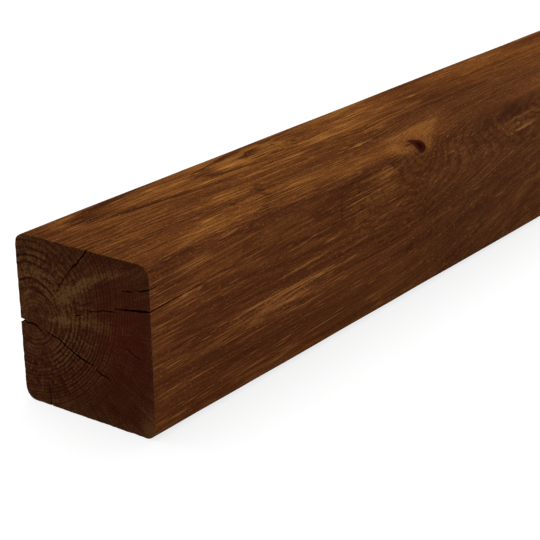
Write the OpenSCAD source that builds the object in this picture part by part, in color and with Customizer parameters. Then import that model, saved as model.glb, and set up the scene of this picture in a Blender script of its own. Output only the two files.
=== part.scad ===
// Treated timber post: one planed, pressure-treated square post, sold as plain stock.
// It lies on its side along Y, and the origin is the middle of its underside.

/* [Post] */
// Width of the planed section
section_w = 97; // [70:1:150]
// Height of the planed section
section_h = 100; // [70:1:150]
// Length of the stock
post_l = 1800; // [600:100:3600]
// Radius of the four eased arrises
arris_r = 7.4; // [2:0.2:12]

/* [Drying checks] */
// Widest opening of a check, where it breaks out through a side
check_open = 2.4; // [1.2:0.2:4]
// How far the longest check runs along the post
check_run = 90; // [40:5:150]
// Rise of the grain, which the checks follow, for each mm along the post
grain_rise = 0.06; // [0:0.01:0.1]

/* [Hidden] */
$fn = 96;

// How far a cutter stands out past the face that it cuts
over = 1;

// Each check is a path over the sawn end, starting at the side that it breaks through
// or near the heart of the tree. A point is [across, up, opening, run]: shares of
// section_w, section_h, check_open and check_run. A share below 0 or above 1 starts
// outside the post.

// From one side, over the pith and on towards the lower far corner, in three strands
// that run past each other, with a fine one beyond them
PITH_CHECK = [
    [[-0.02, 0.472, 1.0, 0.85], [0.032, 0.481, 0.3, 0.65], [0.055, 0.468, 0.35, 0.6],
     [0.08, 0.477, 0.38, 0.5], [0.125, 0.47, 0.32, 0.4], [0.15, 0.453, 0.18, 0.2],
     [0.19, 0.425, 0.08, 0.08]],
    [[0.185, 0.462, 0.08, 0.08], [0.21, 0.447, 0.24, 0.25], [0.31, 0.424, 0.28, 0.35],
     [0.36, 0.397, 0.25, 0.35], [0.46, 0.354, 0.38, 0.35], [0.52, 0.341, 0.25, 0.2],
     [0.56, 0.334, 0.12, 0.08]],
    [[0.57, 0.318, 0.15, 0.06], [0.615, 0.295, 0.25, 0.12], [0.65, 0.29, 0.2, 0.1],
     [0.69, 0.263, 0.08, 0.04]],
    [[0.805, 0.5, 0.08, 0.04], [0.875, 0.468, 0.15, 0.08], [0.93, 0.456, 0.08, 0.04]],
];
// From the opposite side inwards, in three strands that step down past each other
SIDE_CHECK = [
    [[1.02, 0.752, 0.22, 1.0], [0.98, 0.746, 0.26, 0.8], [0.925, 0.736, 0.38, 0.45],
     [0.86, 0.726, 0.32, 0.4], [0.81, 0.718, 0.28, 0.3], [0.745, 0.707, 0.1, 0.1]],
    [[0.75, 0.69, 0.08, 0.06], [0.7, 0.684, 0.18, 0.15], [0.655, 0.679, 0.2, 0.15],
     [0.61, 0.662, 0.14, 0.12], [0.57, 0.654, 0.18, 0.12], [0.515, 0.647, 0.08, 0.06]],
    [[0.505, 0.622, 0.08, 0.05], [0.46, 0.607, 0.15, 0.1], [0.42, 0.594, 0.08, 0.05]],
];
// Short broken check above it
UPPER_CHECK = [
    [[1.02, 0.877, 0.18, 0.12], [0.98, 0.865, 0.22, 0.15], [0.935, 0.848, 0.22, 0.15],
     [0.895, 0.845, 0.08, 0.06]],
    [[0.885, 0.836, 0.08, 0.06], [0.86, 0.832, 0.2, 0.1], [0.8, 0.824, 0.08, 0.05]],
];
// From the top face down towards the pith
TOP_CHECK = [
    [[0.56, 1.02, 0.28, 0.05], [0.54, 0.978, 0.28, 0.15], [0.48, 0.914, 0.26, 0.25],
     [0.42, 0.86, 0.18, 0.2], [0.335, 0.754, 0.14, 0.15], [0.28, 0.68, 0.06, 0.05]],
];
// Hairline check that nicks the underside
FOOT_CHECK = [
    [[0.205, -0.02, 0.4, 0.15], [0.2, 0.03, 0.16, 0.12], [0.193, 0.12, 0.06, 0.05]],
];
NEAR_CHECKS = [PITH_CHECK, SIDE_CHECK, UPPER_CHECK, TOP_CHECK, FOOT_CHECK];

// The other end has dried the same way, with plainer checks out of the pith, which
// the grain has carried lower and further in
FAR_CHECKS = [
    [[[-0.02, 0.4, 0.5, 0.6], [0.07, 0.37, 0.35, 0.4], [0.16, 0.345, 0.3, 0.3],
      [0.3, 0.28, 0.3, 0.3], [0.44, 0.2, 0.1, 0.08]]],
    [[[1.02, 0.56, 0.35, 0.7], [0.9, 0.53, 0.3, 0.35], [0.72, 0.485, 0.2, 0.2],
      [0.58, 0.45, 0.1, 0.06]]],
    [[[0.36, 1.02, 0.28, 0.12], [0.31, 0.86, 0.25, 0.2], [0.25, 0.66, 0.1, 0.06]]],
];

function unit(v) = v / norm(v);

// Outline of the planed section, square with four eased arrises
module section() {
    difference() {
        translate([-section_w / 2, 0]) square([section_w, section_h]);
        for (sx = [-1, 1], sz = [-1, 1])
            translate([sx * (section_w / 2 - arris_r), section_h / 2 + sz * (section_h / 2 - arris_r)])
                scale([sx, sz]) arris_waste();
    }
}

// What easing takes off one arris, with the arris centre at the origin
module arris_waste() {
    difference() {
        square(arris_r + over);
        circle(arris_r);
    }
}

// One strand of a check: a wedge that is open on the sawn end, at y = 0, and closes
// both across its width and along the grain, where it runs out
module strand(path) {
    n = len(path);
    last = n - 1;
    at = [for (p = path) [(p[0] - 0.5) * section_w, p[1] * section_h]];
    run = [for (p = path) p[3] * check_run];
    // Half the opening, carried out to where the cutter starts
    half = [for (i = [0:last]) path[i][2] * check_open / 2 * (run[i] + over) / run[i]];
    along = [for (i = [0:last]) unit(at[min(i + 1, last)] - at[max(i - 1, 0)])];
    lip_a = [for (i = [0:last])
        [at[i][0] - along[i][1] * half[i], -over, at[i][1] + along[i][0] * half[i]]];
    lip_b = [for (i = [0:last])
        [at[i][0] + along[i][1] * half[i], -over, at[i][1] - along[i][0] * half[i]]];
    root = [for (i = [0:last]) [at[i][0], run[i], at[i][1] + grain_rise * run[i]]];
    mouth = [for (i = [0:last - 1]) [i, i + 1, n + i + 1, n + i]];
    wall_a = [for (i = [0:last - 1], t = [[i, 2 * n + i, 2 * n + i + 1], [i, 2 * n + i + 1, i + 1]]) t];
    wall_b = [for (i = [0:last - 1],
        t = [[n + i, n + i + 1, 2 * n + i + 1], [n + i, 2 * n + i + 1, 2 * n + i]]) t];
    ends = [[0, n, 2 * n], [last, 2 * n + last, n + last]];
    polyhedron(concat(lip_a, lip_b, root), concat(mouth, wall_a, wall_b, ends));
}

// The post: the planed length of timber less its drying checks
module post() {
    color("saddlebrown") difference() {
        rotate([90, 0, 0]) linear_extrude(post_l, center = true) section();
        translate([0, -post_l / 2, 0]) for (check = NEAR_CHECKS, path = check) strand(path);
        translate([0, post_l / 2, 0]) mirror([0, 1, 0]) for (check = FAR_CHECKS, path = check) strand(path);
    }
}

post();
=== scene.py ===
import math

import bpy
import numpy as np
from mathutils import Matrix, Vector, noise


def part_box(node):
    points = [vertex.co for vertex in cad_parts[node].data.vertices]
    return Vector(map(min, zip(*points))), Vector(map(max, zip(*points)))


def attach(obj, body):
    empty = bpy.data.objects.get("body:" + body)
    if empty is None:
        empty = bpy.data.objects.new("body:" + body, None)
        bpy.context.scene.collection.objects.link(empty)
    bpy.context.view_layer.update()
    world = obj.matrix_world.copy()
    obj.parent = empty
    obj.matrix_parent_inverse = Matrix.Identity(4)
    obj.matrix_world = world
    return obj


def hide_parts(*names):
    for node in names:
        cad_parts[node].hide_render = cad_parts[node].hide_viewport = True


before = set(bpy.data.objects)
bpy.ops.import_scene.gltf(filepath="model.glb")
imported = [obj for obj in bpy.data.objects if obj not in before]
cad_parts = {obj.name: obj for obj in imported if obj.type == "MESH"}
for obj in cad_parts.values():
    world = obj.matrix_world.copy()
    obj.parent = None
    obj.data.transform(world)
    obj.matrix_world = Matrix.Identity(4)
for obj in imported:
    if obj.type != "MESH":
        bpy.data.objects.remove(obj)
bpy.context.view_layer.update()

# The post's own measures, in millimetres. Points are written as (across, along, up):
# across from the middle of the section, along from the checked near end, up from the floor.
LOW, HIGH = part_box("post")
WIDTH, LENGTH, HEIGHT = (1000 * (b - a) for a, b in zip(LOW, HIGH))
ARRIS = 7.4

# The heart of the tree: its place on the near end, and how it wanders along the post
PITH_X, PITH_Z = -37.5, 50.0
PITH_SWAY_X, PITH_TURN_X = 5.0, 230.0
PITH_SWAY_Z, PITH_TURN_Z = 16.0, 400.0
RING_LEAN = 0.14  # how far the rings lean over to the right above the pith
RING_START, RING_TIGHTEN = 0.2, 1 / 280  # rings per mm at the pith, and how they close up

# Years that stand out dark: radius, how thick the dark wood is, and how dark
DARK_RINGS = [(48.95, 1.5, 1.0), (45.35, 0.9, 1.0), (43.6, 0.8, 1.0), (42.1, 0.3, 0.7),
              (33.0, 0.6, 0.5), (61.0, 0.6, 0.4), (72.0, 0.7, 0.4), (85.0, 0.6, 0.3)]

# Knots: along, the angle round the pith, radius, and how far the rings swell out round them
KNOTS = [
    (265, math.radians(26.2), 5.4, 14.0),
    (705, math.radians(96), 6.0, 12.0),
    (735, math.radians(-38), 8.0, 16.0),
    (1190, math.radians(8), 7.0, 14.0),
    (1235, math.radians(196), 5.0, 8.0),
    (1590, math.radians(47), 6.0, 12.0),
]
KNOT_SPREAD = 13.0  # how far from a knot the rings still bend

# What this piece of timber has of its own, as soft areas: the middle (across, along, up),
# how far it reaches each way, and how much it does there.
TONE_AREAS = [
    # Top, beside the left arris: pale wood between the loops, golden in places
    ((0, 0, 100), (70, 9, 9), -0.12), ((-26, 90, 100), (9, 30, 9), 0.17),
    ((-37, 122, 100), (7, 34, 9), 0.15), ((-27, 158, 100), (4.5, 14, 9), 0.34),
    ((-23, 192, 100), (6, 24, 9), 0.2), ((-30, 208, 100), (5, 10, 9), 0.14),
    ((-29, 232, 100), (6, 11, 9), -0.22), ((-14, 236, 100), (5, 18, 9), 0.18),
    ((-16, 275, 100), (8, 36, 9), 0.2), ((-30, 302, 100), (10, 24, 9), 0.18),
    ((-41, 272, 100), (5, 24, 9), 0.2), ((-16, 127, 100), (3, 14, 9), 0.25),
    # Top, down the middle: darker bands with pale streaks between them
    ((-4, 165, 100), (5, 40, 9), 0.08), ((-4, 200, 100), (3, 9, 9), 0.14),
    ((5, 226, 100), (8, 26, 9), -0.13), ((0, 348, 100), (16, 28, 9), -0.12),
    ((-34, 6, 100), (10, 14, 12), -0.2), ((-20, 190, 100), (7, 12, 9), -0.1),
    ((-3, 28, 100), (9, 14, 9), -0.12), ((16, 78, 100), (6, 16, 9), -0.1),
    ((28, 8, 100), (14, 12, 9), -0.12), ((39, 224, 100), (8, 22, 9), -0.12),
    ((-13, 130, 100), (5, 10, 9), -0.1), ((6, 170, 100), (6, 12, 9), -0.1),
    ((46, 142, 100), (4, 20, 9), 0.2), ((-34, 194, 100), (5, 22, 9), 0.2),
    ((-36, 148, 100), (4, 8, 9), 0.2), ((-34, 325, 100), (6, 20, 9), 0.14),
    ((-24, 172, 100), (5, 9, 9), 0.16), ((-24, 92, 100), (6, 44, 9), 0.06),
    ((-14, 158, 100), (5, 16, 9), 0.08), ((-14, 308, 100), (5, 12, 9), 0.1),
    ((16, 331, 100), (5, 10, 9), 0.14), ((36, 250, 100), (4, 10, 9), 0.1),
    ((36, 70, 100), (4, 10, 9), 0.08), ((14, 205, 100), (5, 24, 9), -0.15),
    ((8, 112, 100), (7, 14, 9), 0.12), ((19, 45, 100), (6, 50, 9), -0.12),
    ((3, 12, 100), (13, 14, 9), -0.1), ((8, 312, 100), (8, 34, 9), -0.08),
    ((-7, 345, 100), (2, 10, 9), 0.3),
    # Top, by the right arris, and the dark stretch beyond the knot
    ((33, 64, 100), (7, 16, 9), 0.24), ((34, 98, 100), (7, 20, 9), 0.1),
    ((29, 155, 100), (5, 24, 9), 0.14), ((40, 214, 100), (5, 24, 9), 0.2),
    ((44, 188, 100), (2.5, 14, 9), 0.15), ((18, 392, 100), (52, 50, 9), -0.24),
    ((38, 342, 100), (16, 32, 9), -0.24),
    # Top, smaller patches among those
    ((16, 55, 100), (5, 32, 9), -0.14), ((16, 235, 100), (5, 90, 9), -0.27),
    ((8, 312, 100), (4.5, 24, 9), -0.14), ((46, 22, 100), (5, 30, 9), -0.22),
    ((27, 222, 100), (5, 20, 9), -0.14), ((-34, 275, 100), (5, 13, 9), -0.2),
    ((-36, 368, 100), (11, 20, 9), -0.18), ((-13, 365, 100), (7, 20, 9), -0.28),
    ((-34, 200, 100), (4.5, 14, 9), 0.4), ((-34, 150, 100), (4, 8, 9), 0.3),
    ((-24, 131, 100), (4, 10, 9), 0.18), ((-24, 45, 100), (4, 18, 9), 0.12),
    ((-24, 220, 100), (5, 14, 9), 0.14), ((-24, 170, 100), (4, 9, 9), 0.22),
    ((-24, 112, 100), (4, 9, 9), 0.13), ((-16, 8, 100), (6, 16, 9), -0.22),
    ((-10, 32, 100), (7, 12, 9), -0.1), ((27, 195, 100), (4, 12, 9), -0.12),
    ((47, 140, 100), (3, 14, 9), 0.16), ((46, 190, 100), (4, 9, 9), -0.18),
    ((-24, 296, 100), (5, 14, 9), -0.24), ((-14, 150, 100), (4, 10, 9), 0.16),
    ((-4, 270, 100), (4, 12, 9), -0.16),
    # Right side, upper half
    ((48, 150, 97), (8, 190, 3), -0.11), ((48, 35, 45), (8, 25, 4), -0.13),
    ((48, 158, 45), (8, 13, 4), -0.13), ((48, 118, 35), (8, 42, 4), 0.23),
    ((48, 112, 15), (8, 45, 5), 0.13), ((48, 300, 25), (8, 14, 4), -0.12),
    ((48, 200, 25), (8, 16, 4), -0.13), ((48, 380, 55), (8, 24, 6), -0.14),
    ((48, 392, 80), (8, 10, 7), -0.13), ((48, 90, 45), (8, 30, 3), -0.13),
    ((48, 15, 55), (8, 20, 5), 0.13), ((48, 70, 85), (8, 12, 4), -0.13),
    ((48, 180, 86), (8, 16, 4), 0.13), ((48, 115, 5), (8, 24, 3), 0.12),
    ((48, 210, 96), (8, 10, 4), -0.12), ((48, 32, 92), (8, 20, 4), 0.3),
    ((48, 29, 75), (8, 9, 4), 0.25), ((48, 5, 60), (8, 10, 6), 0.25), ((48, 58, 81), (8, 46, 6), 0.1),
    ((48, 204, 81), (8, 24, 4), 0.16), ((48, 220, 91), (8, 18, 3), 0.32),
    ((48, 270, 76), (8, 24, 5), 0.12), ((48, 305, 85), (8, 11, 5), 0.14),
    ((48, 332, 76), (8, 12, 5), 0.14), ((48, 336, 25), (8, 26, 5), 0.12),
    ((48, 200, 44), (8, 16, 4), -0.1), ((48, 130, 74), (8, 16, 5), 0.14),
    ((48, 50, 76), (8, 10, 4), 0.14), ((48, 12, 58), (8, 10, 6), 0.14), ((48, 90, 84), (8, 30, 4), 0.1),
    ((48, 10, 6), (8, 14, 5), 0.12), ((48, 140, 95), (8, 18, 3), -0.12),
    ((48, 50, 65), (8, 12, 3), -0.12), ((48, 90, 53), (8, 24, 3), 0.08),
    ((48, 325, 44), (8, 20, 4), 0.1), ((48, 260, 34), (8, 14, 4), -0.12),
    ((48, 300, 34), (8, 20, 4), -0.1), ((48, 230, 15), (8, 16, 4), 0.08),
    ((48, 394, 81), (8, 16, 2), 0.3), ((48, 398, 88), (8, 26, 2), 0.16),
    ((48, 140, 96), (8, 16, 4), -0.12), ((48, 250, 96), (8, 12, 4), -0.14),
    ((48, 210, 86), (8, 10, 3), -0.14), ((48, 290, 86), (8, 10, 4), -0.1),
    ((48, 374, 76), (8, 26, 5), -0.14), ((48, 268, 66), (8, 14, 5), -0.12),
    ((48, 190, 4), (12, 260, 4), 0.15), ((48, 12, 4), (8, 10, 4), 0.1),
    # Right side, middle: golden streaks on a pale band that climbs slowly, between dark bands
    ((48, 128, 46.5), (8, 50, 3), 0.2), ((48, 116, 41), (8, 62, 4), 0.12),
    ((48, 50, 37), (8, 22, 2), 0.14), ((48, 120, 51.5), (8, 80, 2), -0.14),
    ((48, 42, 47), (8, 14, 3), -0.1), ((48, 138, 58), (8, 34, 2), 0.16),
    ((48, 140, 62), (8, 20, 1.8), -0.12), ((48, 168, 67), (8, 32, 2.5), 0.1),
    ((48, 266, 55), (8, 34, 10), -0.26), ((48, 224, 45), (8, 24, 4), -0.16),
    ((48, 350, 55), (8, 30, 4), 0.18), ((48, 292, 44), (8, 20, 2.5), 0.12),
    # Right side, foot
    ((48, 290, 34), (8, 56, 5), -0.2), ((48, 42, 31), (8, 14, 2.5), -0.12),
    ((48, 88, 23), (8, 30, 2.5), -0.14), ((48, 180, 22), (8, 24, 3), -0.14),
    ((48, 335, 21), (8, 15, 3), 0.1), ((48, 216, 13), (8, 17, 4), 0.13),
    ((48, 305, 12), (8, 20, 3.5), -0.22), ((48, 404, 22), (8, 16, 3), -0.2),
    ((48, 88, 13), (8, 15, 0.8), 0.3), ((48, 96, 11.3), (8, 13, 0.8), -0.3),
    ((48, 60, 6), (8, 80, 4), 0.06), ((48, 382, 37), (8, 20, 2.5), 0.1),
]

# Small dark marks: a crooked seam across the top, a spot beside it, and two bars on the right side
DARK_MARKS = [
    ((12.5, 138, 100), (2, 3.5, 9), 0.45), ((19, 132, 100), (3.5, 2, 9), 0.5),
    ((26, 128, 100), (3.5, 2.2, 9), 0.5), ((32, 124, 100), (2.2, 3, 9), 0.5),
    ((35.5, 119, 100), (1.4, 4, 9), 0.55), ((39, 112, 100), (1.4, 4, 9), 0.5),
    ((42, 107, 100), (1.3, 3, 9), 0.5), ((22.5, 102.6, 100), (1.8, 1.8, 9), 0.6),
    ((48, 174, 74), (9, 1, 7), 0.3), ((48, 193, 79), (9, 1, 4), 0.3),
    ((42.5, 257, 91.5), (1.3, 5, 4), 0.8),
]

# Smooth tan wood round the knot on the photographed arris, and the straight edge that it stops at
TAN_AREAS = [
    ((26, 303, 100), (5, 25, 8), 1.1), ((34, 288, 100), (9, 16, 8), 1.1),
    ((27, 260, 100), (5, 12, 6), 0.9), ((41, 246, 99), (7, 10, 6), 1.3),
    ((46, 254, 97), (4, 8, 4), 0.7), ((47, 275, 97), (5, 7, 4), 1.3),
]
TAN_EDGE_SLOPE, TAN_EDGE = 1.86, 367.0

# Where the late wood of each year shows as a fine dark line, and where the dark years do
RING_AREAS = [
    ((0, 40, 100), (30, 70, 20), 0.24), ((48, 262, 90), (12, 22, 18), 0.16),
    ((34, 254, 100), (14, 14, 12), 0.15),
]
LOOP_AREAS = [((-30, 60, 100), (22, 75, 12), 0.55), ((-30, 170, 100), (14, 45, 12), 0.7)]

# Where the wood is smoother than elsewhere
CALM_AREAS = [
    ((-30, 90, 100), (20, 60, 12), 0.25), ((48, 300, 30), (12, 110, 22), 0.5),
    ((48, 84, 72), (12, 28, 8), 0.3), ((48, 120, 14), (12, 140, 22), 0.4),
    ((38, 370, 100), (30, 44, 12), 0.75), ((48, 195, 22), (12, 30, 8), 0.4),
    ((30, 295, 100), (12, 26, 12), 0.3),
]

# Where more of the threads shine: painted highlights, more of them here
PAINTED_GLINT_AREAS = [
    ((-26, 158, 100), (4, 16, 9), 1.2), ((-28, 100, 100), (6, 30, 9), 0.6),
    ((-24, 195, 100), (5, 20, 9), 0.7), ((-15, 250, 100), (5, 30, 9), 0.8),
    ((34, 66, 100), (7, 16, 9), 0.9), ((-26, 300, 100), (6, 30, 9), 0.7),
    ((14, 234, 100), (5, 12, 9), 0.7), ((-4, 140, 100), (4, 20, 9), 0.5),
    ((28, 160, 100), (8, 30, 9), 0.5), ((9, 106, 100), (6, 8, 9), 0.7), ((48, 8, 82), (8, 8, 6), 1.0),
    ((48, 34, 92), (8, 16, 2.5), 1.0), ((48, 28, 75), (8, 7, 3), 1.0),
    ((48, 120, 47.5), (8, 46, 3), 1.5), ((48, 115, 41.5), (8, 34, 3.5), 1.2),
    ((48, 138, 58), (8, 28, 1.5), 0.8), ((48, 225, 90.5), (8, 12, 2.5), 1.2),
    ((48, 212, 62), (8, 20, 8), 0.6), ((48, 205, 82), (8, 22, 6), 0.7),
    ((48, 300, 86), (8, 12, 4), 0.7), ((48, 396, 84), (8, 26, 6), 0.6),
    ((48, 30, 30), (8, 30, 14), 0.4),
]
# Single torn fibres painted bright, as painted highlights where they catch the light, on the top and on
# the right side
TOP_STREAKS = [
    ((-25, 156, 100), (1, 12, 9), 0.9), ((-24, 178, 100), (0.8, 7, 9), 0.8),
    ((-31, 136, 100), (0.8, 4, 9), 0.7), ((-16, 230, 100), (0.8, 10, 9), 0.9),
    ((-17.6, 247, 100), (0.8, 9, 9), 0.8), ((-19.6, 267, 100), (0.8, 9, 9), 0.8),
    ((-10.5, 243, 100), (0.7, 16, 9), 0.7), ((-5, 238, 100), (0.6, 5, 9), 0.7),
    ((-3.5, 199, 100), (0.8, 9, 9), 0.9), ((-27.5, 297, 100), (0.8, 9, 9), 0.7),
    ((-20, 319, 100), (0.8, 6, 9), 0.7), ((-20, 359, 100), (1, 5, 9), 0.9),
    ((-7.5, 344, 100), (0.8, 9, 9), 0.7), ((5.5, 281, 100), (0.6, 5, 9), 0.9),
    ((17, 239, 100), (0.7, 3, 9), 0.9), ((12.5, 229, 100), (0.6, 3.5, 9), 0.8),
    ((6.5, 201, 100), (0.7, 2, 9), 0.8), ((44.5, 187, 100), (0.6, 11, 9), 0.7),
    ((42.5, 203, 100), (0.6, 11, 9), 0.6), ((-16, 127, 100), (0.8, 8, 9), 0.8),
    ((-29, 217, 100), (1.2, 4, 9), 0.7),
]
SIDE_STREAKS = [
    ((48, 90, 48.3), (9, 16, 0.5), 0.9), ((48, 125, 47.8), (9, 22, 0.6), 0.9),
    ((48, 152, 48), (9, 16, 0.5), 0.8), ((48, 115, 41.5), (9, 22, 0.5), 0.8),
    ((48, 108, 43.5), (9, 14, 0.5), 0.6), ((48, 46, 38), (9, 13, 0.6), 0.7),
    ((48, 141, 34), (9, 14, 0.5), 0.7), ((48, 177, 37), (9, 4, 0.5), 0.8),
    ((48, 138, 58), (9, 26, 0.5), 0.8), ((48, 163, 65.6), (9, 6, 0.6), 0.9),
    ((48, 225, 90), (9, 9, 1), 0.9), ((48, 91, 79.5), (9, 11, 0.5), 0.7),
    ((48, 84, 91.2), (9, 24, 0.5), 0.6), ((48, 65, 97), (9, 8, 0.5), 0.8),
    ((48, 37, 92), (9, 12, 0.8), 0.8), ((48, 121, 74), (9, 4, 0.5), 0.9),
    ((48, 146, 73.6), (9, 3.5, 0.5), 0.8), ((48, 88, 13.4), (9, 14, 0.5), 0.8),
    ((48, 28, 75.3), (9, 2.5, 1.1), 1.2), ((48, 40, 75.3), (9, 2, 0.8), 0.9),
    ((48, 400, 79), (9, 11, 0.9), 1.6), ((48, 392, 88), (9, 24, 0.6), 0.6),
    ((48, 292, 45), (9, 12, 0.5), 0.4), ((48, 336, 51), (9, 4, 0.6), 0.5),
    ((48, 366, 38), (9, 6, 0.6), 0.5),
]
SIDE_CLIMB = 0.045  # how far marks on the right side climb for each mm along

# Where the grain curls
CURL_AREAS = [
    ((22, 112, 100), (20, 20, 9), 1.2), ((48, 215, 74), (9, 30, 14), 0.7),
    ((48, 298, 84), (9, 20, 12), 0.15), ((30, 250, 100), (16, 24, 9), 0.5),
    ((-28, 222, 100), (10, 12, 9), 0.8),
]

# Hair cracks on the right side, drawn as painted shade: where each starts and ends, along and up
HAIR_CRACKS = [((40, 78.4), (104, 80.6)), ((108, 73.6), (212, 75.4)), ((196, 60.2), (226, 61.5))]

# Sawn end: paler and darker patches, where the rings show best, and where the wood is olive or red
END_TONE_AREAS = [
    ((-28, 0, 82), (16, 20, 14), 0.1), ((-46, 0, 75), (6, 20, 34), 0.14),
    # The wide flat area at the foot, centred at (0, 0, 0), is painted light: it makes the foot of the
    # end paler, against the shade that the floor brings there
    ((45, 0, 4), (7, 20, 10), 0.6), ((0, 0, 0), (70, 20, 8), 0.26), ((32, 0, 56), (20, 20, 34), -0.12),
    ((-16, 0, 54), (12, 20, 10), 0.08), ((30, 0, 97), (26, 20, 4), -0.2),
]
END_RING_AREAS = [
    ((-8, 0, 34), (18, 20, 17), 1.1), ((-38, 0, 72), (14, 20, 24), 0.55),
    ((22, 0, 52), (15, 20, 26), 0.5),
]
END_SMOOTH_AREAS = [((-42, 0, 14), (15, 20, 22), 1.0)]
END_OLIVE_AREAS = [((-22, 0, 76), (38, 20, 34), 1.0), ((46, 0, 92), (12, 20, 14), 0.7)]
END_RED_AREAS = [((29, 0, 54), (22, 20, 30), 1.4), ((4, 0, 20), (20, 20, 14), 0.45)]

# Drying checks, as in the solid: strands over the sawn end, each point
# [across share, up share, share of the widest opening, share of the longest run]
CHECK_OPEN, CHECK_RUN, GRAIN_RISE = 2.4, 90.0, 0.06
# How ragged a strand is, in mm: the steps of its line, how far the line strays across and
# up, and what its opening may gain. The opening also varies by a share of itself.
STRAND_STEP, STRAY_ACROSS, STRAY_UP, EXTRA_OPEN, OPEN_VARIES = 1.7, 0.35, 0.45, 0.3, 0.5
CUTTER_OVER = 1.0  # how far a cutter stands out of the sawn end
NEAR_CHECKS = [
    # From the left side, over the pith and on towards the lower right corner
    [[-0.02, 0.472, 1.0, 0.85], [0.032, 0.481, 0.3, 0.65], [0.055, 0.468, 0.35, 0.6],
     [0.08, 0.477, 0.38, 0.5], [0.125, 0.47, 0.32, 0.4], [0.15, 0.453, 0.18, 0.2],
     [0.19, 0.425, 0.08, 0.08]],
    [[0.185, 0.462, 0.08, 0.08], [0.21, 0.447, 0.24, 0.25], [0.31, 0.424, 0.28, 0.35],
     [0.36, 0.397, 0.25, 0.35], [0.46, 0.354, 0.38, 0.35], [0.52, 0.341, 0.25, 0.2],
     [0.56, 0.334, 0.12, 0.08]],
    [[0.57, 0.318, 0.15, 0.06], [0.615, 0.295, 0.25, 0.12], [0.65, 0.29, 0.2, 0.1],
     [0.69, 0.263, 0.08, 0.04]],
    [[0.805, 0.5, 0.08, 0.04], [0.875, 0.468, 0.15, 0.08], [0.93, 0.456, 0.08, 0.04]],
    # From the right side inwards
    [[1.02, 0.752, 0.22, 1.0], [0.98, 0.746, 0.26, 0.8], [0.925, 0.736, 0.38, 0.45],
     [0.86, 0.726, 0.32, 0.4], [0.81, 0.718, 0.28, 0.3], [0.745, 0.707, 0.1, 0.1]],
    [[0.75, 0.69, 0.08, 0.06], [0.7, 0.684, 0.18, 0.15], [0.655, 0.679, 0.2, 0.15],
     [0.61, 0.662, 0.14, 0.12], [0.57, 0.654, 0.18, 0.12], [0.515, 0.647, 0.08, 0.06]],
    [[0.505, 0.622, 0.08, 0.05], [0.46, 0.607, 0.15, 0.1], [0.42, 0.594, 0.08, 0.05]],
    # Short broken check above it
    [[1.02, 0.877, 0.18, 0.12], [0.98, 0.865, 0.22, 0.15], [0.935, 0.848, 0.22, 0.15],
     [0.895, 0.845, 0.08, 0.06]],
    [[0.885, 0.836, 0.08, 0.06], [0.86, 0.832, 0.2, 0.1], [0.8, 0.824, 0.08, 0.05]],
    # From the top towards the pith, and a hairline that nicks the underside
    [[0.56, 1.02, 0.28, 0.05], [0.54, 0.978, 0.28, 0.15], [0.48, 0.914, 0.26, 0.25],
     [0.42, 0.86, 0.18, 0.2], [0.335, 0.754, 0.14, 0.15], [0.28, 0.68, 0.06, 0.05]],
    [[0.205, -0.02, 0.4, 0.15], [0.2, 0.03, 0.16, 0.12], [0.193, 0.12, 0.06, 0.05]],
]
FAR_CHECKS = [
    [[-0.02, 0.4, 0.5, 0.6], [0.07, 0.37, 0.35, 0.4], [0.16, 0.345, 0.3, 0.3],
     [0.3, 0.28, 0.3, 0.3], [0.44, 0.2, 0.1, 0.08]],
    [[1.02, 0.56, 0.35, 0.7], [0.9, 0.53, 0.3, 0.35], [0.72, 0.485, 0.2, 0.2],
     [0.58, 0.45, 0.1, 0.06]],
    [[0.36, 1.02, 0.28, 0.12], [0.31, 0.86, 0.25, 0.2], [0.25, 0.66, 0.1, 0.06]],
]

# Mesh density: steps over each half of an arris, over the flat of each side, and along the
# near stretch and the rest
ARC_STEPS, FLAT_STEPS = 4, 48
NEAR_STRETCH, NEAR_STEPS, FAR_STEPS = 450.0, 150, 150

# How far the surface may draw in, in mm, and how much of that the sawn ends do
DEEPEST, END_SHARE = 0.5, 0.5

# The finish: how rough the wood is, how much less so where it is raised, and how strong
# and how deep, in metres, its fine relief is
ROUGHNESS, RAISED_SHEEN, BUMP_SHARE, BUMP_DEPTH = 0.82, 0.15, 0.6, 0.0006
# Painted shade inside the checks: their walls get a near-black colour that stands for the shade deep in
# the narrow cracks
WALL_PAINTED_SHADE, WALL_ROUGHNESS = (16, 8, 5), 0.9  # inside the checks
SHARP_FROM = math.radians(40)  # edges sharper than this aren't smoothed

# Places in the picture map: four strips along it and the two sawn ends. The rooms are the mm
# of post that fit across a strip and across an end.
MAP_SIZE, MAP_GAP, NEAR_SHARE = 1024, 4, 0.4
STRIP_TALL, STRIP_ROOM, END_TALL, END_ROOM = 190, 98, 236, 102
WALLS_FROM, WALLS_WIDE, WALLS_TALL = 590, 400, 0.8  # and where the walls of the checks go
BOTTOM, RIGHT, TOP, LEFT, NEAR_END, FAR_END, CHECK_WALL = range(7)


def section_ring():
    """The section's outline, one side after another from the lower left arris."""
    side = 2 * ARC_STEPS + FLAT_STEPS
    middle = Vector((0, HEIGHT / 2))
    points = []
    for turn in range(4):
        half_run = (WIDTH if turn % 2 == 0 else HEIGHT) / 2
        half_out = (HEIGHT if turn % 2 == 0 else WIDTH) / 2
        flat = half_run - ARRIS
        for step in range(side):
            if step < ARC_STEPS:
                a = math.radians(225 + 45 * step / ARC_STEPS)
                p = Vector((-flat + ARRIS * math.cos(a), -(half_out - ARRIS) + ARRIS * math.sin(a)))
            elif step <= ARC_STEPS + FLAT_STEPS:
                p = Vector((-flat + 2 * flat * (step - ARC_STEPS) / FLAT_STEPS, -half_out))
            else:
                a = math.radians(270 + 45 * (step - ARC_STEPS - FLAT_STEPS) / ARC_STEPS)
                p = Vector((flat + ARRIS * math.cos(a), -(half_out - ARRIS) + ARRIS * math.sin(a)))
            points.append(Matrix.Rotation(math.radians(90 * turn), 2) @ p + middle)
    return np.array([tuple(p) for p in points]), side


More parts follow.
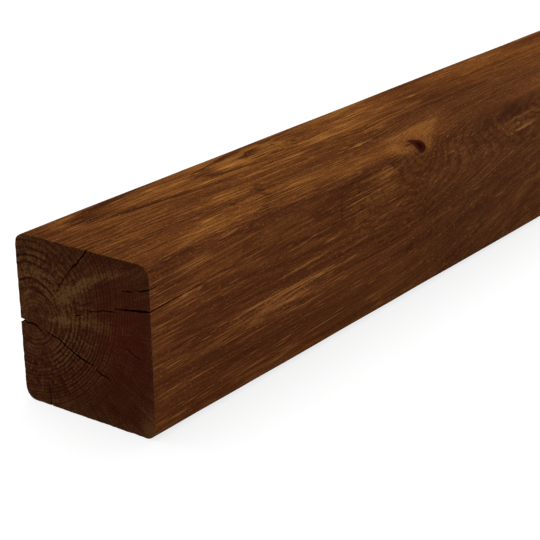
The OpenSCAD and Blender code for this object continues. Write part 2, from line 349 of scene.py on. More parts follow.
def end_grid(ring, side):
    """Points over a sawn end, blended from the four stretches of its outline."""
    share = np.linspace(0, 1, side + 1)
    s, t = share[None, :, None], share[:, None, None]
    bottom = ring[np.arange(side + 1)][None, :]
    right = ring[side + np.arange(side + 1)][:, None]
    top = ring[3 * side - np.arange(side + 1)][None, :]
    left = ring[-np.arange(side + 1)][:, None]
    corners = ((1 - s) * (1 - t) * ring[0] + s * (1 - t) * ring[side]
               + s * t * ring[2 * side] + (1 - s) * t * ring[3 * side])
    return (1 - t) * bottom + t * top + (1 - s) * left + s * right - corners


def timber_block():
    """The post before it dries: a closed grid over its sides and both sawn ends."""
    ring, side = section_ring()
    count = len(ring)
    stations = np.concatenate([np.linspace(0, NEAR_STRETCH, NEAR_STEPS + 1),
                               np.linspace(NEAR_STRETCH, LENGTH, FAR_STEPS + 1)[1:]])
    rows = len(stations)
    sides = np.empty((rows, count, 3))
    sides[:, :, 0], sides[:, :, 1], sides[:, :, 2] = ring[:, 0], stations[:, None], ring[:, 1]
    points = [sides.reshape(-1, 3)]
    i, j = np.meshgrid(np.arange(rows - 1), np.arange(count), indexing="ij")
    here, there, after = i * count, (i + 1) * count, (j + 1) % count
    quads = [np.stack([here + j, there + j, there + after, here + after], -1).reshape(-1, 4)]
    grid = end_grid(ring, side)
    made = rows * count
    for y, row in ((0.0, 0), (LENGTH, rows - 1)):
        index = np.empty((side + 1, side + 1), int)
        edge = row * count
        inner = (side - 1) ** 2
        index[1:-1, 1:-1] = made + np.arange(inner).reshape(side - 1, side - 1)
        along = np.arange(side + 1)
        index[0, :], index[:, -1] = edge + along, edge + side + along
        index[-1, :], index[:, 0] = edge + 3 * side - along, edge + (-along) % count
        flat = grid[1:-1, 1:-1].reshape(-1, 2)
        points.append(np.stack([flat[:, 0], np.full(inner, y), flat[:, 1]], -1))
        cells = [index[:-1, :-1], index[:-1, 1:], index[1:, 1:], index[1:, :-1]]
        cells = np.stack(cells, -1).reshape(-1, 4)
        quads.append(cells if row == 0 else cells[:, ::-1])
        made += inner
    return new_mesh("timber", np.concatenate(points), np.concatenate(quads).tolist())


def new_mesh(name, points, faces):
    mesh = bpy.data.meshes.new(name)
    mesh.from_pydata([tuple(p) for p in points], [], faces)
    mesh.validate()
    return mesh


def drift(x, y, z):
    """Three smooth noises that don't follow each other, the same in every run."""
    return [noise.noise(Vector((x, y, z + shift))) for shift in (0.0, 17.3, 41.9)]


def strand_points(path, seed):
    """A strand's path with a ragged line between the points that set its course."""
    fine = []
    for a, b in zip(path, path[1:]):
        steps = max(1, round(math.hypot((b[0] - a[0]) * WIDTH, (b[1] - a[1]) * HEIGHT) / STRAND_STEP))
        for k in range(steps):
            fine.append(np.array(a) + (np.array(b) - a) * k / steps)
    fine.append(np.array(path[-1]))
    fine = np.array(fine)
    x, z = (fine[:, 0] - 0.5) * WIDTH, fine[:, 1] * HEIGHT
    for k in range(1, len(fine) - 1):
        stray = drift(k * 0.83, seed * 7.3, 1.7)
        x[k] += STRAY_ACROSS * stray[0]
        z[k] += STRAY_UP * stray[1]
        fine[k, 2] *= 1 + OPEN_VARIES * stray[2]
    opening = fine[:, 2] * CHECK_OPEN + np.minimum(EXTRA_OPEN, fine[:, 2])
    return x, z, opening, fine[:, 3] * CHECK_RUN


def check_cutters():
    """Wedges that open each check: widest on the sawn end, closing along the grain."""
    points, faces = [], []
    ends = [(path, False) for path in NEAR_CHECKS] + [(path, True) for path in FAR_CHECKS]
    for seed, (path, far) in enumerate(ends):
        x, z, opening, run = strand_points(path, seed)
        n = len(x)
        half = opening / 2 * (run + CUTTER_OVER) / run
        dx, dz = np.gradient(x), np.gradient(z)
        size = np.hypot(dx, dz)
        nx, nz = -dz / size * half, dx / size * half
        start = len(points)
        mouth = np.full(n, -CUTTER_OVER)
        rows = [(x + nx, mouth, z + nz), (x - nx, mouth, z - nz), (x, run, z + GRAIN_RISE * run)]
        for row in rows:
            for p in zip(*row):
                points.append((p[0], LENGTH - p[1] if far else p[1], p[2]))
        made = []
        for i in range(n - 1):
            a, b, c = i, n + i, 2 * n + i
            made += [(a, b, b + 1, a + 1), (a, a + 1, c + 1), (a, c + 1, c),
                     (b, c, c + 1), (b, c + 1, b + 1)]
        made += [(0, 2 * n, n), (n - 1, 2 * n - 1, 3 * n - 1)]
        faces += [tuple(start + k for k in (f[::-1] if far else f)) for f in made]
    return new_mesh("checks", points, faces)


def pith(along):
    """Where the heart of the tree is, at a distance along the post."""
    return (PITH_X + PITH_SWAY_X * math.sin(along / PITH_TURN_X),
            PITH_Z + PITH_SWAY_Z * math.sin(along / PITH_TURN_Z))


def cut_checks(block):
    """Opens the checks in the block and returns the cut mesh."""
    post = bpy.data.objects.new("post_uncut", block)
    tool = bpy.data.objects.new("check_tool", check_cutters())
    for o in (post, tool):
        bpy.context.collection.objects.link(o)
    cut = post.modifiers.new("checks", "BOOLEAN")
    cut.object, cut.operation, cut.solver = tool, "DIFFERENCE", "MANIFOLD"
    bpy.context.view_layer.update()
    mesh = bpy.data.meshes.new_from_object(post.evaluated_get(bpy.context.evaluated_depsgraph_get()))
    for o in (post, tool):
        bpy.data.objects.remove(o)
    return mesh


def outward(points):
    """How far inside the outline points lie, and the outline's outward direction by them."""
    flat_x, flat_z = WIDTH / 2 - ARRIS, HEIGHT / 2 - ARRIS
    x, z = points[:, 0], points[:, 2] - HEIGHT / 2
    px, pz = np.abs(x) - flat_x, np.abs(z) - flat_z
    corner = (px > 0) & (pz > 0)
    reach = np.hypot(np.maximum(px, 0), np.maximum(pz, 0))
    depth = ARRIS - np.where(corner, reach, np.maximum(px, pz))
    nx = np.where(corner, px, px >= pz) * np.sign(x)
    nz = np.where(corner, pz, px < pz) * np.sign(z)
    size = np.hypot(nx, nz)
    return depth, nx / size, nz / size


def relief(p):
    """How far the dried surface has drawn in at a point: raised grain and soft waves."""
    x, y, z = p
    px, pz = pith(y)
    b = z - pz
    a = x - px - RING_LEAN * b
    wander = drift(x / 60, y / 400, z / 60)
    a, b = a + 4 * wander[0], b + 4 * wander[1]
    fibre = noise.noise(Vector((a / 2.6, y / 70, b / 2.6)))
    streak = noise.noise(Vector((a / 7, y / 160, b / 7 + 40)))
    wave = noise.noise(Vector((x / 45, y / 90, z / 45 + 90)))
    return min(DEEPEST, max(0.0, 0.13 + 0.2 * fibre + 0.12 * streak + 0.08 * wave))


def weather(mesh):
    """Draws the surface in by its relief. Nothing moves out, and the checks' walls stay."""
    count = len(mesh.vertices)
    points = np.empty(count * 3)
    mesh.vertices.foreach_get("co", points)
    points = points.reshape(-1, 3)
    depth, nx, nz = outward(points)
    on_side = np.abs(depth) < 0.02
    on_near, on_far = np.abs(points[:, 1]) < 0.001, np.abs(points[:, 1] - LENGTH) < 0.001
    moves = on_side | on_near | on_far
    pull = np.array([relief(p) if m else 0.0 for p, m in zip(points, moves)])
    points[:, 0] -= nx * pull * on_side
    points[:, 2] -= nz * pull * on_side
    points[:, 1] += pull * END_SHARE * on_near - pull * END_SHARE * on_far
    mesh.vertices.foreach_set("co", points.ravel())


def regions(mesh):
    """Which side, end or check each face belongs to."""
    count = len(mesh.polygons)
    centre, normal = np.empty(count * 3), np.empty(count * 3)
    mesh.polygons.foreach_get("center", centre)
    mesh.polygons.foreach_get("normal", normal)
    centre, normal = centre.reshape(-1, 3), normal.reshape(-1, 3)
    depth, nx, nz = outward(centre)
    turn = np.degrees(np.arctan2(nz, nx))
    region = np.select([turn < -135, turn < -45, turn < 45, turn < 135],
                       [LEFT, BOTTOM, RIGHT, TOP], LEFT)
    inside = (depth > 0.1) | (normal[:, 0] * nx + normal[:, 2] * nz < 0.9)
    region[inside] = CHECK_WALL
    region[(np.abs(centre[:, 1]) < 0.01) & (normal[:, 1] < -0.9)] = NEAR_END
    region[(np.abs(centre[:, 1] - LENGTH) < 0.01) & (normal[:, 1] > 0.9)] = FAR_END
    return region


def lay_map(mesh, region):
    """Gives the post its picture map. A strip holds one side from arris to arris, and the
    near stretch gets a larger share of it."""
    corners = len(mesh.loops)
    vertex = np.empty(corners, int)
    mesh.loops.foreach_get("vertex_index", vertex)
    points = np.empty(len(mesh.vertices) * 3)
    mesh.vertices.foreach_get("co", points)
    x, y, z = points.reshape(-1, 3)[vertex].T
    z = z - HEIGHT / 2
    totals = np.empty(len(mesh.polygons), int)
    mesh.polygons.foreach_get("loop_total", totals)
    region = np.repeat(region, totals)
    along = np.interp(y, [0, NEAR_STRETCH, LENGTH],
                      [MAP_GAP, NEAR_SHARE * MAP_SIZE, MAP_SIZE - MAP_GAP])
    u, v = np.zeros(corners), np.zeros(corners)
    strip = STRIP_TALL / STRIP_ROOM
    for side, (run, out, half_run, half_out) in enumerate((
            (x, -z, WIDTH / 2, HEIGHT / 2), (z, x, HEIGHT / 2, WIDTH / 2),
            (-x, z, WIDTH / 2, HEIGHT / 2), (-z, -x, HEIGHT / 2, WIDTH / 2))):
        flat = half_run - ARRIS
        past = np.abs(run) - flat
        bent = flat + ARRIS * np.arctan2(past, out - (half_out - ARRIS))
        place = np.where(past > 0, np.sign(run) * bent, run)
        here = region == side
        u[here] = along[here]
        v[here] = (MAP_GAP + STRIP_TALL / 2 + side * (STRIP_TALL + MAP_GAP) + place * strip)[here]
    end = END_TALL / END_ROOM
    base = MAP_SIZE - END_TALL / 2
    for k, here in enumerate((region == NEAR_END, region == FAR_END)):
        u[here] = (MAP_GAP + END_TALL / 2 + k * (END_TALL + MAP_GAP) + x * end)[here]
        v[here] = (base + z * end)[here]
    here = region == CHECK_WALL
    u[here] = (WALLS_FROM + (y % LENGTH) * WALLS_WIDE / LENGTH + 0.5 * x)[here]
    v[here] = (base + z * end * WALLS_TALL)[here]
    layer = mesh.uv_layers.new(name="OFBake")
    layer.data.foreach_set("uv", np.stack([u, v], -1).ravel() / MAP_SIZE)


class Wire:
    """A number or vector in a node tree, so that a formula reads as a formula."""
    tree = None

    def __init__(self, socket):
        self.socket = socket

    def __add__(self, other):
        return maths("ADD", self, other)

    def __sub__(self, other):
        return maths("SUBTRACT", self, other)

    def __rsub__(self, other):
        return maths("SUBTRACT", other, self)

    def __mul__(self, other):
        return maths("MULTIPLY", self, other)

    def __truediv__(self, other):
        return maths("DIVIDE", self, other)

    __radd__, __rmul__ = __add__, __mul__


def node(kind, *values, **settings):
    """Adds a node, with its settings and with its inputs in order."""
    made = Wire.tree.nodes.new("ShaderNode" + kind)
    for name, value in settings.items():
        setattr(made, name, value)
    for socket, value in zip(made.inputs, values):
        feed(socket, value)
    return made


def wire(kind, *values, **settings):
    return Wire(node(kind, *values, **settings).outputs[0])


def feed(socket, value):
    if isinstance(value, Wire):
        Wire.tree.links.new(value.socket, socket)
    elif value is not None:
        socket.default_value = value


def maths(operation, *values, clamp=False):
    return wire("Math", *values, operation=operation, use_clamp=clamp)


def clamped(value):
    return maths("ADD", value, 0.0, clamp=True)


def vector(x, y, z):
    return wire("CombineXYZ", x, y, z)


def split(value):
    return [Wire(o) for o in node("SeparateXYZ", value).outputs]


def rise(value, low, high, to_low=0.0, to_high=1.0):
    """Goes smoothly from to_low to to_high as the value passes from low to high."""
    made = node("MapRange", value, low, high, to_low, to_high, interpolation_type="SMOOTHSTEP")
    return Wire(made.outputs[0])


def bell(value, centre, spread):
    """1 at the centre, falling to nothing on both sides."""
    off = (value - centre) / spread
    return maths("POWER", math.e, off * off * -1.0)


def areas(place, marks):
    """The sum of a list of soft areas at a place."""
    total = 0.0
    for middle, reach, amount in marks:
        scale = tuple(1.0 / r for r in reach)
        shift = tuple(-m / r for m, r in zip(middle, reach))
        off = wire("VectorMath", place, scale, shift, operation="MULTIPLY_ADD")
        away = Wire(node("VectorMath", off, off, operation="DOT_PRODUCT").outputs["Value"])
        total = maths("MULTIPLY_ADD", maths("POWER", 1 / math.e, away), amount, total)
    return total


def cloud(x, y, z, detail=2.0, rough=0.5):
    """Noise about 0, mostly within -0.4 and 0.4, at a point of its own space."""
    made = node("TexNoise", vector(x, y, z), noise_dimensions="3D")
    made.inputs["Scale"].default_value = 1.0
    made.inputs["Detail"].default_value = detail
    made.inputs["Roughness"].default_value = rough
    return Wire(made.outputs[0]) - 0.5


def random_for(value):
    return Wire(node("TexWhiteNoise", None, value, noise_dimensions="1D").outputs[0])


def paint(red, green, blue):
    """A colour from its screen values, 0 to 255."""
    shades = [c / 255 for c in (red, green, blue)]
    return tuple(((c + 0.055) / 1.055) ** 2.4 if c > 0.04 else c / 12.92 for c in shades) + (1,)


def ramp(value, *stops):
    made = node("ValToRGB", value)
    elements = made.color_ramp.elements
    while len(elements) < len(stops):
        elements.new(0.5)
    for element, (place, colour) in zip(elements, stops):
        element.position, element.color = place, paint(*colour)
    return Wire(made.outputs[0])


def blend(share, below, above):
    made = node("Mix", data_type="RGBA", blend_type="MIX", clamp_factor=True)
    feed(made.inputs["Factor"], share)
    for socket, colour in zip([i for i in made.inputs if i.type == "RGBA"], (below, above)):
        feed(socket, colour)
    return Wire(next(o for o in made.outputs if o.type == "RGBA"))


def new_material(name):
    """A material without a mirror highlight, whose nodes are the next to be wired."""
    material = bpy.data.materials.new(name)
    material.use_nodes = True
    Wire.tree = material.node_tree
    shader = material.node_tree.nodes["Principled BSDF"]
    shader.inputs["Specular IOR Level"].default_value = 0.0
    return material, shader


def tree_space(place):
    """Across and up from the pith, with the rings bent out round each knot, and how deep
    in a knot, all in mm."""
    x, y, z = split(place)
    up = z - maths("SINE", y / PITH_TURN_Z) * PITH_SWAY_Z - PITH_Z
    across = x - maths("SINE", y / PITH_TURN_X) * PITH_SWAY_X - PITH_X - up * RING_LEAN
    across = across + cloud(x / 60, y / 400, z / 60, 1.0) * 4.0
    up = up + cloud(x / 60, y / 400, z / 60 + 20.0, 1.0) * 4.0
    # The grain swings over past the knot, and back again further along
    swing = rise(y, 230.0, 440.0) * rise(y, 980.0, 560.0) * rise(x, -20.0, 40.0)
    across = across + swing * rise(z, 60.0, 100.0) * 22.0
    up = up - swing * rise(x, 40.0, 48.0, 12.0, 30.0)
    curl = clamped(areas(place, CURL_AREAS) + 0.06)
    across = across + cloud(x / 14, y / 9, z / 14 + 5.0, 1.0) * curl * 7.0
    up = up + cloud(x / 14, y / 9, z / 14 + 35.0, 1.0) * curl * 7.0
    heart = -99.0
    for along, angle, radius, swell in KNOTS:
        from_x, from_z = pith(along)
        ray_x, ray_z = math.cos(angle), math.sin(angle)
        side = (x - from_x) * ray_z - (z - from_z) * ray_x
        out = (x - from_x) * ray_x + (z - from_z) * ray_z
        past = y - along
        off = maths("SQRT", side * side + past * past + 1.0)
        grown = rise(out, 8.0, 45.0)
        lift = maths("EXPONENT", off / -KNOT_SPREAD) * grown * swell
        part = side * grown * (radius * radius) / (off * off + radius * radius)
        across = across - lift * ray_x - part * ray_z
        up = up - lift * ray_z + part * ray_x
        heart = maths("MAXIMUM", radius - off - rise(out, 12.0, 2.0) * 20.0, heart)
    return across, up, heart


def long_grain(place, a, b, late, strong, vigour):
    """Colour and height of the planed sides."""
    x, y, z = split(place)
    side = rise(x, 42.0, 48.0)
    far = rise(y, 240.0, 340.0) * rise(y, 760.0, 480.0)
    # Fine threads run straight along the post, climb a little on the right side, and sweep
    # round past the knot
    level = z - y * rise(x, 30.0, 48.0, 0.0, SIDE_CLIMB)
    swept = rise(y, 225.0, 440.0)
    straight = level - swept * side * 26.0
    aside = x + swept * rise(x, -30.0, 36.0) * 20.0
    hair = cloud(aside / 0.6, y / 40, straight / 0.6, 1.0)
    line = cloud(aside / 1.5, y / 110, straight / 1.5 + 20.0, 2.0, 0.6)
    thread = cloud(aside / 0.6, y / 26, straight / 0.6 + 30.0, 1.0) - far * 0.03
    speck = cloud(aside / 0.5, y / 2.4, straight / 0.5 + 80.0, 1.0)
    fibre = cloud(a / 0.5, y / 9, b / 0.5, 2.0)
    strand = cloud(a / 1.2, y / 45, b / 1.2, 3.0, 0.6)
    streak = cloud(a / 3.4, y / 160, b / 3.4, 3.0, 0.6)
    patch = cloud(a / 18, y / 90, b / 18, 3.0)
    grit = cloud(x / 0.9, y / 1.7, z / 0.9, 1.0)
    # The areas end in streaks along the grain
    stray = vector(cloud(x / 9, y / 50, z / 9 + 15.0) * 5.0,
                   cloud(x / 1.4, y / 70, z / 1.4 + 45.0) * 60.0,
                   cloud(x / 9 + 33.0, y / 50, z / 9) * 5.0)
    ragged = wire("VectorMath", place, stray, operation="ADD")
    rough = clamped(1.0 - areas(place, CALM_AREAS)) * (side * -0.25 + 1.0)
    lively = areas(ragged, PAINTED_GLINT_AREAS) + cloud(a / 8, y / 60, b / 8 + 70.0) * 0.6
    picked = rise(thread, side * 0.08 - 0.08, 0.2, side * -0.12 + 0.45, side * 1.1 + 2.2)
    marked = areas(ragged, TONE_AREAS) * picked
    bright = rise(thread + lively * 0.1 - side * 0.03, 0.08, 0.28)
    shown = areas(place, RING_AREAS) + 0.2
    # Slanting light and dark on the right side, for a stretch past the knot
    cloudy = (cloud(x / 7, (y + z * 0.35) / 26, (z - y * 0.35) / 5 + 60.0, 1.0)
              * rise(y, 280.0, 360.0) * rise(y, 620.0, 460.0) * side)
    fine = (fibre * 0.7 + hair * rise(z, 90.0, 99.0, 0.4, 0.9) + line * 0.5
            + strand * 0.6 + grit * 0.65) * rough
    broad = (streak * (side * -0.1 + 0.52) + patch * 0.4 + (vigour - 0.5) * 0.16
             + cloudy * 0.6 - side * 0.02 - far * 0.03)
    rings = late * shown + strong * (areas(place, LOOP_AREAS) + 0.3) * 0.75
    tone = 0.71 + fine + broad + bright * 0.7 - rings + marked
    tan = clamped(areas(place, TAN_AREAS)) * rise(y + x * TAN_EDGE_SLOPE, TAN_EDGE + 6, TAN_EDGE - 6)
    tone = tone + (0.98 + strand * 0.8 + fibre * 0.6 + grit * 0.9 - late * 0.15 - tone) * tan * 0.9
    swayed = vector(x + cloud(y / 14, 7.0, 7.0, 1.0) * 2.0, y,
                    level + cloud(y / 14, 8.0, 8.0, 1.0) * 2.0)
    side_streaks = [((across, along, up - along * SIDE_CLIMB), reach, share)
                    for (across, along, up), reach, share in SIDE_STREAKS]
    tone = tone - areas(swayed, DARK_MARKS) * rise(grit, -0.2, 0.2, 1.2, 0.6)
    colour = ramp(tone, (0.0, (62, 32, 17)), (0.25, (74, 40, 20)), (0.45, (85, 47, 22)),
                  (0.62, (98, 55, 26)), (0.8, (114, 67, 31)), (1.0, (139, 88, 39)))
    torn_fibre_glint = areas(swayed, TOP_STREAKS) * (1.0 - side) + areas(swayed, side_streaks) * side
    # Painted highlights: bright threads and torn fibres, blended towards pale gold where they would
    # catch the light, with pale specks among them
    fleck_and_glint = (rise(thread + lively * 0.13, 0.2, 0.26)
             + torn_fibre_glint * rise(hair, -0.12, 0.08, 0.4, 1.0)
             + rise(speck + lively * 0.07, 0.18, 0.26) * 0.75)
    colour = blend(clamped(fleck_and_glint) * 0.9, colour, paint(176, 117, 57))
    # The right side is a shade redder near the checked end, and the wood past the knot greyer. The
    # whole right side is also painted bluer: a painted cool shade for the cooler light on that shaded
    # face
    grey = far * rise(x, -20.0, 25.0) * (1.0 - tan)
    tint_and_cool_shade = vector(1.0, side * rise(y, 60.0, 300.0, -0.06, 0.01) + grey * 0.05 + tan * 0.025 + 1.0,
                  side * rise(y, 60.0, 300.0, 0.14, 0.18) + grey * 0.22 + tan * 0.08 + 1.02)
    colour = wire("VectorMath", colour, tint_and_cool_shade, operation="MULTIPLY")
    pore = rise(cloud(a / 0.8, y / 18, b / 0.8 + 55.0, 1.0), -0.16, -0.25)
    colour = blend(pore * (0.3 - side * 0.12), colour, paint(54, 27, 15))
    # Painted shade: each hair crack is a near-black line in the colour, standing for the shade inside
    # the crack, and a groove in the bump
    crack = None
    for (start, low), (end, high) in HAIR_CRACKS:
        off = z - (y - start) * ((high - low) / (end - start)) - low + cloud(y / 12, start, 1.0) * 1.5
        part = bell(off, 0.0, 0.35) * rise(y, start, start + 8) * rise(y, end, end - 20)
        crack = part if crack is None else maths("MAXIMUM", crack, part)
    crack = crack * rise(x, 44.0, 46.0) * rise(cloud(y / 7, 3.0, 3.0), -0.2, 0.05)
    colour = blend(crack * 0.6, colour, paint(34, 17, 9))
    raised = fibre * 0.4 + hair * 0.3 + strand * 0.4 + late * 0.12 + grit * 0.2
    return colour, raised + rise(thread, 0.12, 0.26) * 0.3 - pore * 0.3 - crack


def sawn_end(place, a, b, radius, late):
    """Colour and height of the two sawn ends."""
    x, _, z = split(place)
    angle = maths("ARCTAN2", b, a)
    ray = cloud(angle * 9.0, radius / 60, 3.0, 3.0, 0.6)
    needle = cloud(angle * 42.0, radius / 16, 13.0, 1.0)
    grit = cloud(x / 0.8, 9.0, z / 0.8, 2.0, 0.7)
    mottle = cloud(x / 15, 2.0, z / 15, 3.0, 0.6)
    block = rise(cloud(angle * 14.0, radius / 3.2, 8.0, 2.0, 0.6), -0.1, 0.12)
    # Two pale rays run out of the pith: one nearly level, and a steeper one that bends over
    low_off = (angle - 0.285 + radius * 0.0022) * radius
    low_ray = (bell(low_off, 0.0, rise(radius, 10.0, 40.0, 1.6, 3.2))
               * rise(radius, 6.0, 16.0) * rise(radius, 90.0, 38.0, 0.2, 1.0))
    high_off = (angle - 0.88 + radius * 0.0037) * radius
    high_ray = (bell(high_off, 0.0, rise(radius, 40.0, 62.0, 4.4, 2.6))
                * rise(radius, 14.0, 28.0) * rise(radius, 90.0, 48.0, 0.3, 1.0))
    rays = low_ray + high_ray
    olive = clamped(areas(place, END_OLIVE_AREAS))
    # Near the pith only the edge of each ring is dark, and faintly, with thin pale arcs between
    late = rise(late, rise(radius, 10.0, 34.0, 0.3, 0.0), rise(radius, 10.0, 34.0, 0.5, 1.0))
    shown = (clamped(areas(place, END_RING_AREAS) + mottle * 0.6 + 0.3)
             * rise(radius, 4.0, 34.0, 0.2, 1.0))
    thin = (bell(maths("FRACT", radius / 2.5 + mottle), 0.5, 0.2)
            * rise(radius, 40.0, 24.0) * rise(radius, 2.0, 8.0))
    inner = rise(radius, 72.0, 25.0)
    arc = cloud(radius / 4.0, angle * 2.2, 7.0, 1.0)
    settled = rise(radius, 6.0, 34.0, 0.3, 1.0)
    fine = (ray * 0.4 + needle * 0.8) * settled + grit * (1.9 - areas(place, END_SMOOTH_AREAS))
    broad = mottle * 0.35 + ((block - 0.5) * settled * 0.45 + arc * (olive + 0.3)) * inner
    rings = (thin - 0.2) * (arc * 0.6 + 0.22) - (late - 0.22) * shown * 1.05
    tone = (0.51 + fine + broad + rings + rays * 0.56 * (block * 0.3 + 0.75)
            + areas(place, END_TONE_AREAS))
    # The thin rim of the cut is paler
    from_x = maths("ABSOLUTE", x) - (WIDTH / 2 - ARRIS)
    from_z = maths("ABSOLUTE", z - HEIGHT / 2) - (HEIGHT / 2 - ARRIS)
    round_off = vector(maths("MAXIMUM", from_x, 0.0), maths("MAXIMUM", from_z, 0.0), 0.0)
    reach = Wire(node("VectorMath", round_off, operation="LENGTH").outputs["Value"])
    rim = rise(maths("MAXIMUM", maths("MAXIMUM", from_x, from_z), reach), ARRIS - 1.0, ARRIS)
    tone = tone + rim * 0.2
    colour = ramp(tone, (0.0, (46, 20, 13)), (0.3, (60, 29, 17)), (0.5, (68, 35, 20)),
                  (0.75, (82, 49, 28)), (1.0, (100, 66, 39)))
    colour = wire("VectorMath", colour, vector(1.0, olive * 0.11 + 1.0, 1.0), operation="MULTIPLY")
    red = (clamped(areas(place, END_RED_AREAS) - rays * 0.4)
           * rise(grit + mottle * 0.6 - late * 0.1, 0.18, -0.06))
    colour = blend(red * 0.85, colour, paint(66, 24, 16))
    dot = rise(cloud(x / 0.9, 5.0, z / 0.9 + 60.0, 1.0), -0.14, -0.23)
    colour = blend(dot * 0.6, colour, paint(34, 21, 12))
    return colour, grit * 0.6 + late * 0.3 * shown


def timber_material():
    """Solid wood from the pith outwards, on the planed sides and the sawn ends alike."""
    material, shader = new_material("treated timber")
    object_place = Wire(node("TexCoord").outputs["Object"])
    place = wire("VectorMath", object_place, (1000, 1000, 1000), (0, -1000 * LOW.y, 0),
                 operation="MULTIPLY_ADD")
    x, y, z = split(place)
    a, b, heart = tree_space(place)
    radius = maths("SQRT", a * a + b * b)
    wobble = cloud(a / 9, y / 120, b / 9)
    # The tree grew faster upwards than to the lower right
    grown = radius * 0.8 + a * 0.08 - b * 0.18
    rings = (grown * (grown * RING_TIGHTEN + RING_START) + wobble * 0.5
             + cloud(a / 2.4, y / 60, b / 2.4 + 40.0, 1.0) * 0.35)
    year = maths("FLOOR", rings)
    season = rings - year
    vigour = random_for(year)
    late = rise(season, 0.35, 0.85) * rise(season, 1.0, 0.9) * (vigour * 0.7 + 0.3)
    strong = 0.0
    for where, thick, depth in DARK_RINGS:
        out = radius + wobble * 1.2 - where
        strong = maths("MAXIMUM", rise(out, -thick, 0.0) * rise(out, thick * 0.4, 0.0) * depth, strong)

    facing = split(Wire(node("TexCoord").outputs["Normal"]))[1]
    is_end = rise(maths("ABSOLUTE", facing), 0.6, 0.8)
    side_colour, side_height = long_grain(place, a, b, late, strong, vigour)
    end_colour, end_height = sawn_end(place, a, b, radius, late)
    colour = blend(is_end, side_colour, end_colour)

    # Knots: a dark core in a red-brown ring
    in_knot = rise(heart, -0.8, 0.8)
    knot_tone = heart / 6.0 + cloud(x / 2, y / 2, z / 2) * 0.4
    knot_colour = ramp(knot_tone, (0.0, (60, 30, 20)), (0.35, (64, 24, 16)),
                       (0.6, (44, 12, 8)), (1.0, (30, 12, 8)))
    colour = blend(in_knot, colour, knot_colour)
    feed(shader.inputs["Base Color"], colour)
    height = side_height + (end_height - side_height) * is_end
    feed(shader.inputs["Roughness"], ROUGHNESS - height * RAISED_SHEEN)
    bump = node("Bump")
    bump.inputs["Strength"].default_value = BUMP_SHARE
    bump.inputs["Distance"].default_value = BUMP_DEPTH
    feed(bump.inputs["Height"], height)
    feed(shader.inputs["Normal"], Wire(bump.outputs[0]))
    return material


def check_material():
    """Painted shade down inside the checks: a near-black colour that stands for the shade deep in the
    narrow cracks.
    """
    material, shader = new_material("painted shade inside a check")
    shader.inputs["Base Color"].default_value = paint(*WALL_PAINTED_SHADE)
    shader.inputs["Roughness"].default_value = WALL_ROUGHNESS
    return material


def make_post():
    """The post: cut, mapped, weathered and painted."""
    mesh = cut_checks(timber_block())
    region = regions(mesh)
    lay_map(mesh, region)
    weather(mesh)
    mesh.transform(Matrix.Translation((0, LOW.y, 0)) @ Matrix.Scale(0.001, 4))
    mesh.materials.clear()
    mesh.materials.append(timber_material())
    mesh.materials.append(check_material())
    mesh.polygons.foreach_set("material_index", (region == CHECK_WALL).astype(np.int32))
    mesh.shade_smooth()
    mesh.set_sharp_from_angle(angle=SHARP_FROM)
    post = bpy.data.objects.new("timber_post", mesh)
    bpy.context.collection.objects.link(post)
    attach(post, "root")
    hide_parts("post")


# The camera: its azimuth, elevation and roll in degrees, its place from the middle of the
# near end's foot in metres, and its lens and sensor in mm
CAMERA_TURN, CAMERA_PLACE = (37.415, 21.109, -1.124), (0.5589, -0.5649, 0.39)
CAMERA_LENS, CAMERA_SENSOR = 106.1, 36.0

# The light: the world's share, the lamp's strength and how wide it is, and its direction
WORLD_LIGHT, LAMP_LIGHT, LAMP_WIDE, LAMP_FROM = 0.42, 2.1, 70, (-0.35, 0.3, 1.0)
# The floor: half its size in metres, its shade for the light that it throws back, and its
# shade and glow as the camera sees it, so that it is near white but keeps a soft shadow
FLOOR_HALF, FLOOR_SHADE, FLOOR_SEEN, FLOOR_GLOW = 12, 232, 150, 0.78


def make_camera():
    """A long lens looking at the checked end from above its right side."""
    azimuth, elevation, roll = (math.radians(a) for a in CAMERA_TURN)
    back = Vector((math.sin(azimuth) * math.cos(elevation),
                   -math.cos(azimuth) * math.cos(elevation),
                   math.sin(elevation)))
    turn = back.to_track_quat("Z", "Y").to_matrix() @ Matrix.Rotation(roll, 3, "Z")
    data = bpy.data.cameras.new("camera")
    data.lens, data.sensor_width = CAMERA_LENS, CAMERA_SENSOR
    data.clip_start, data.clip_end = 0.05, 30
    camera = bpy.data.objects.new("camera", data)
    place = Vector(CAMERA_PLACE) + Vector((0, LOW.y, 0))
    camera.matrix_world = Matrix.Translation(place) @ turn.to_4x4()
    bpy.context.collection.objects.link(camera)
    bpy.context.scene.camera = camera


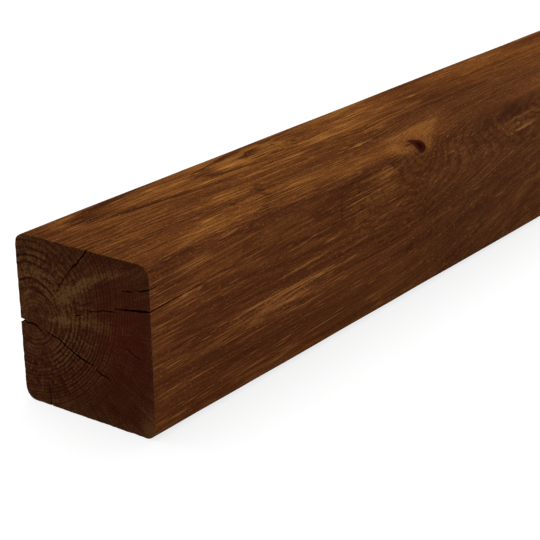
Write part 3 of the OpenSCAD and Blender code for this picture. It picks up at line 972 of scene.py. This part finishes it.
def make_floor():
    """A pale floor that shows near white to the camera and keeps a soft shadow."""
    mesh = bpy.data.meshes.new("floor")
    corners = [(x * FLOOR_HALF, y * FLOOR_HALF, 0) for x, y in ((-1, -1), (1, -1), (1, 1), (-1, 1))]
    mesh.from_pydata(corners, [], [(0, 1, 2, 3)])
    floor = bpy.data.objects.new("floor", mesh)
    bpy.context.collection.objects.link(floor)
    material = bpy.data.materials.new("floor")
    material.use_nodes = True
    Wire.tree = tree = material.node_tree
    tree.nodes.clear()
    plain = node("BsdfDiffuse", paint(FLOOR_SHADE, FLOOR_SHADE, FLOOR_SHADE))
    shown = node("BsdfDiffuse", paint(FLOOR_SEEN, FLOOR_SEEN, FLOOR_SEEN))
    glow = node("Emission", (1, 1, 1, 1), FLOOR_GLOW)
    lifted = node("AddShader")
    tree.links.new(shown.outputs[0], lifted.inputs[0])
    tree.links.new(glow.outputs[0], lifted.inputs[1])
    both = node("MixShader", Wire(node("LightPath").outputs["Is Camera Ray"]))
    tree.links.new(plain.outputs[0], both.inputs[1])
    tree.links.new(lifted.outputs[0], both.inputs[2])
    tree.links.new(both.outputs[0], node("OutputMaterial").inputs[0])
    mesh.materials.append(material)


def make_lights():
    """Plain soft studio light: an even world that shows white, and a wide lamp overhead."""
    world = bpy.data.worlds.new("studio")
    bpy.context.scene.world = world
    world.use_nodes = True
    Wire.tree = tree = world.node_tree
    tree.nodes.clear()
    light = node("Background", (1, 1, 1, 1), WORLD_LIGHT)
    seen = node("Background", (1, 1, 1, 1), 1.0)
    both = node("MixShader", Wire(node("LightPath").outputs["Is Camera Ray"]))
    tree.links.new(light.outputs[0], both.inputs[1])
    tree.links.new(seen.outputs[0], both.inputs[2])
    tree.links.new(both.outputs[0], node("OutputWorld").inputs[0])
    data = bpy.data.lights.new("overhead", "SUN")
    data.energy, data.angle = LAMP_LIGHT, math.radians(LAMP_WIDE)
    lamp = bpy.data.objects.new("overhead", data)
    lamp.rotation_euler = Vector(LAMP_FROM).to_track_quat("Z", "Y").to_euler()
    bpy.context.collection.objects.link(lamp)
    bpy.context.scene.view_settings.view_transform = "Standard"


make_camera()
make_lights()
make_floor()
make_post()
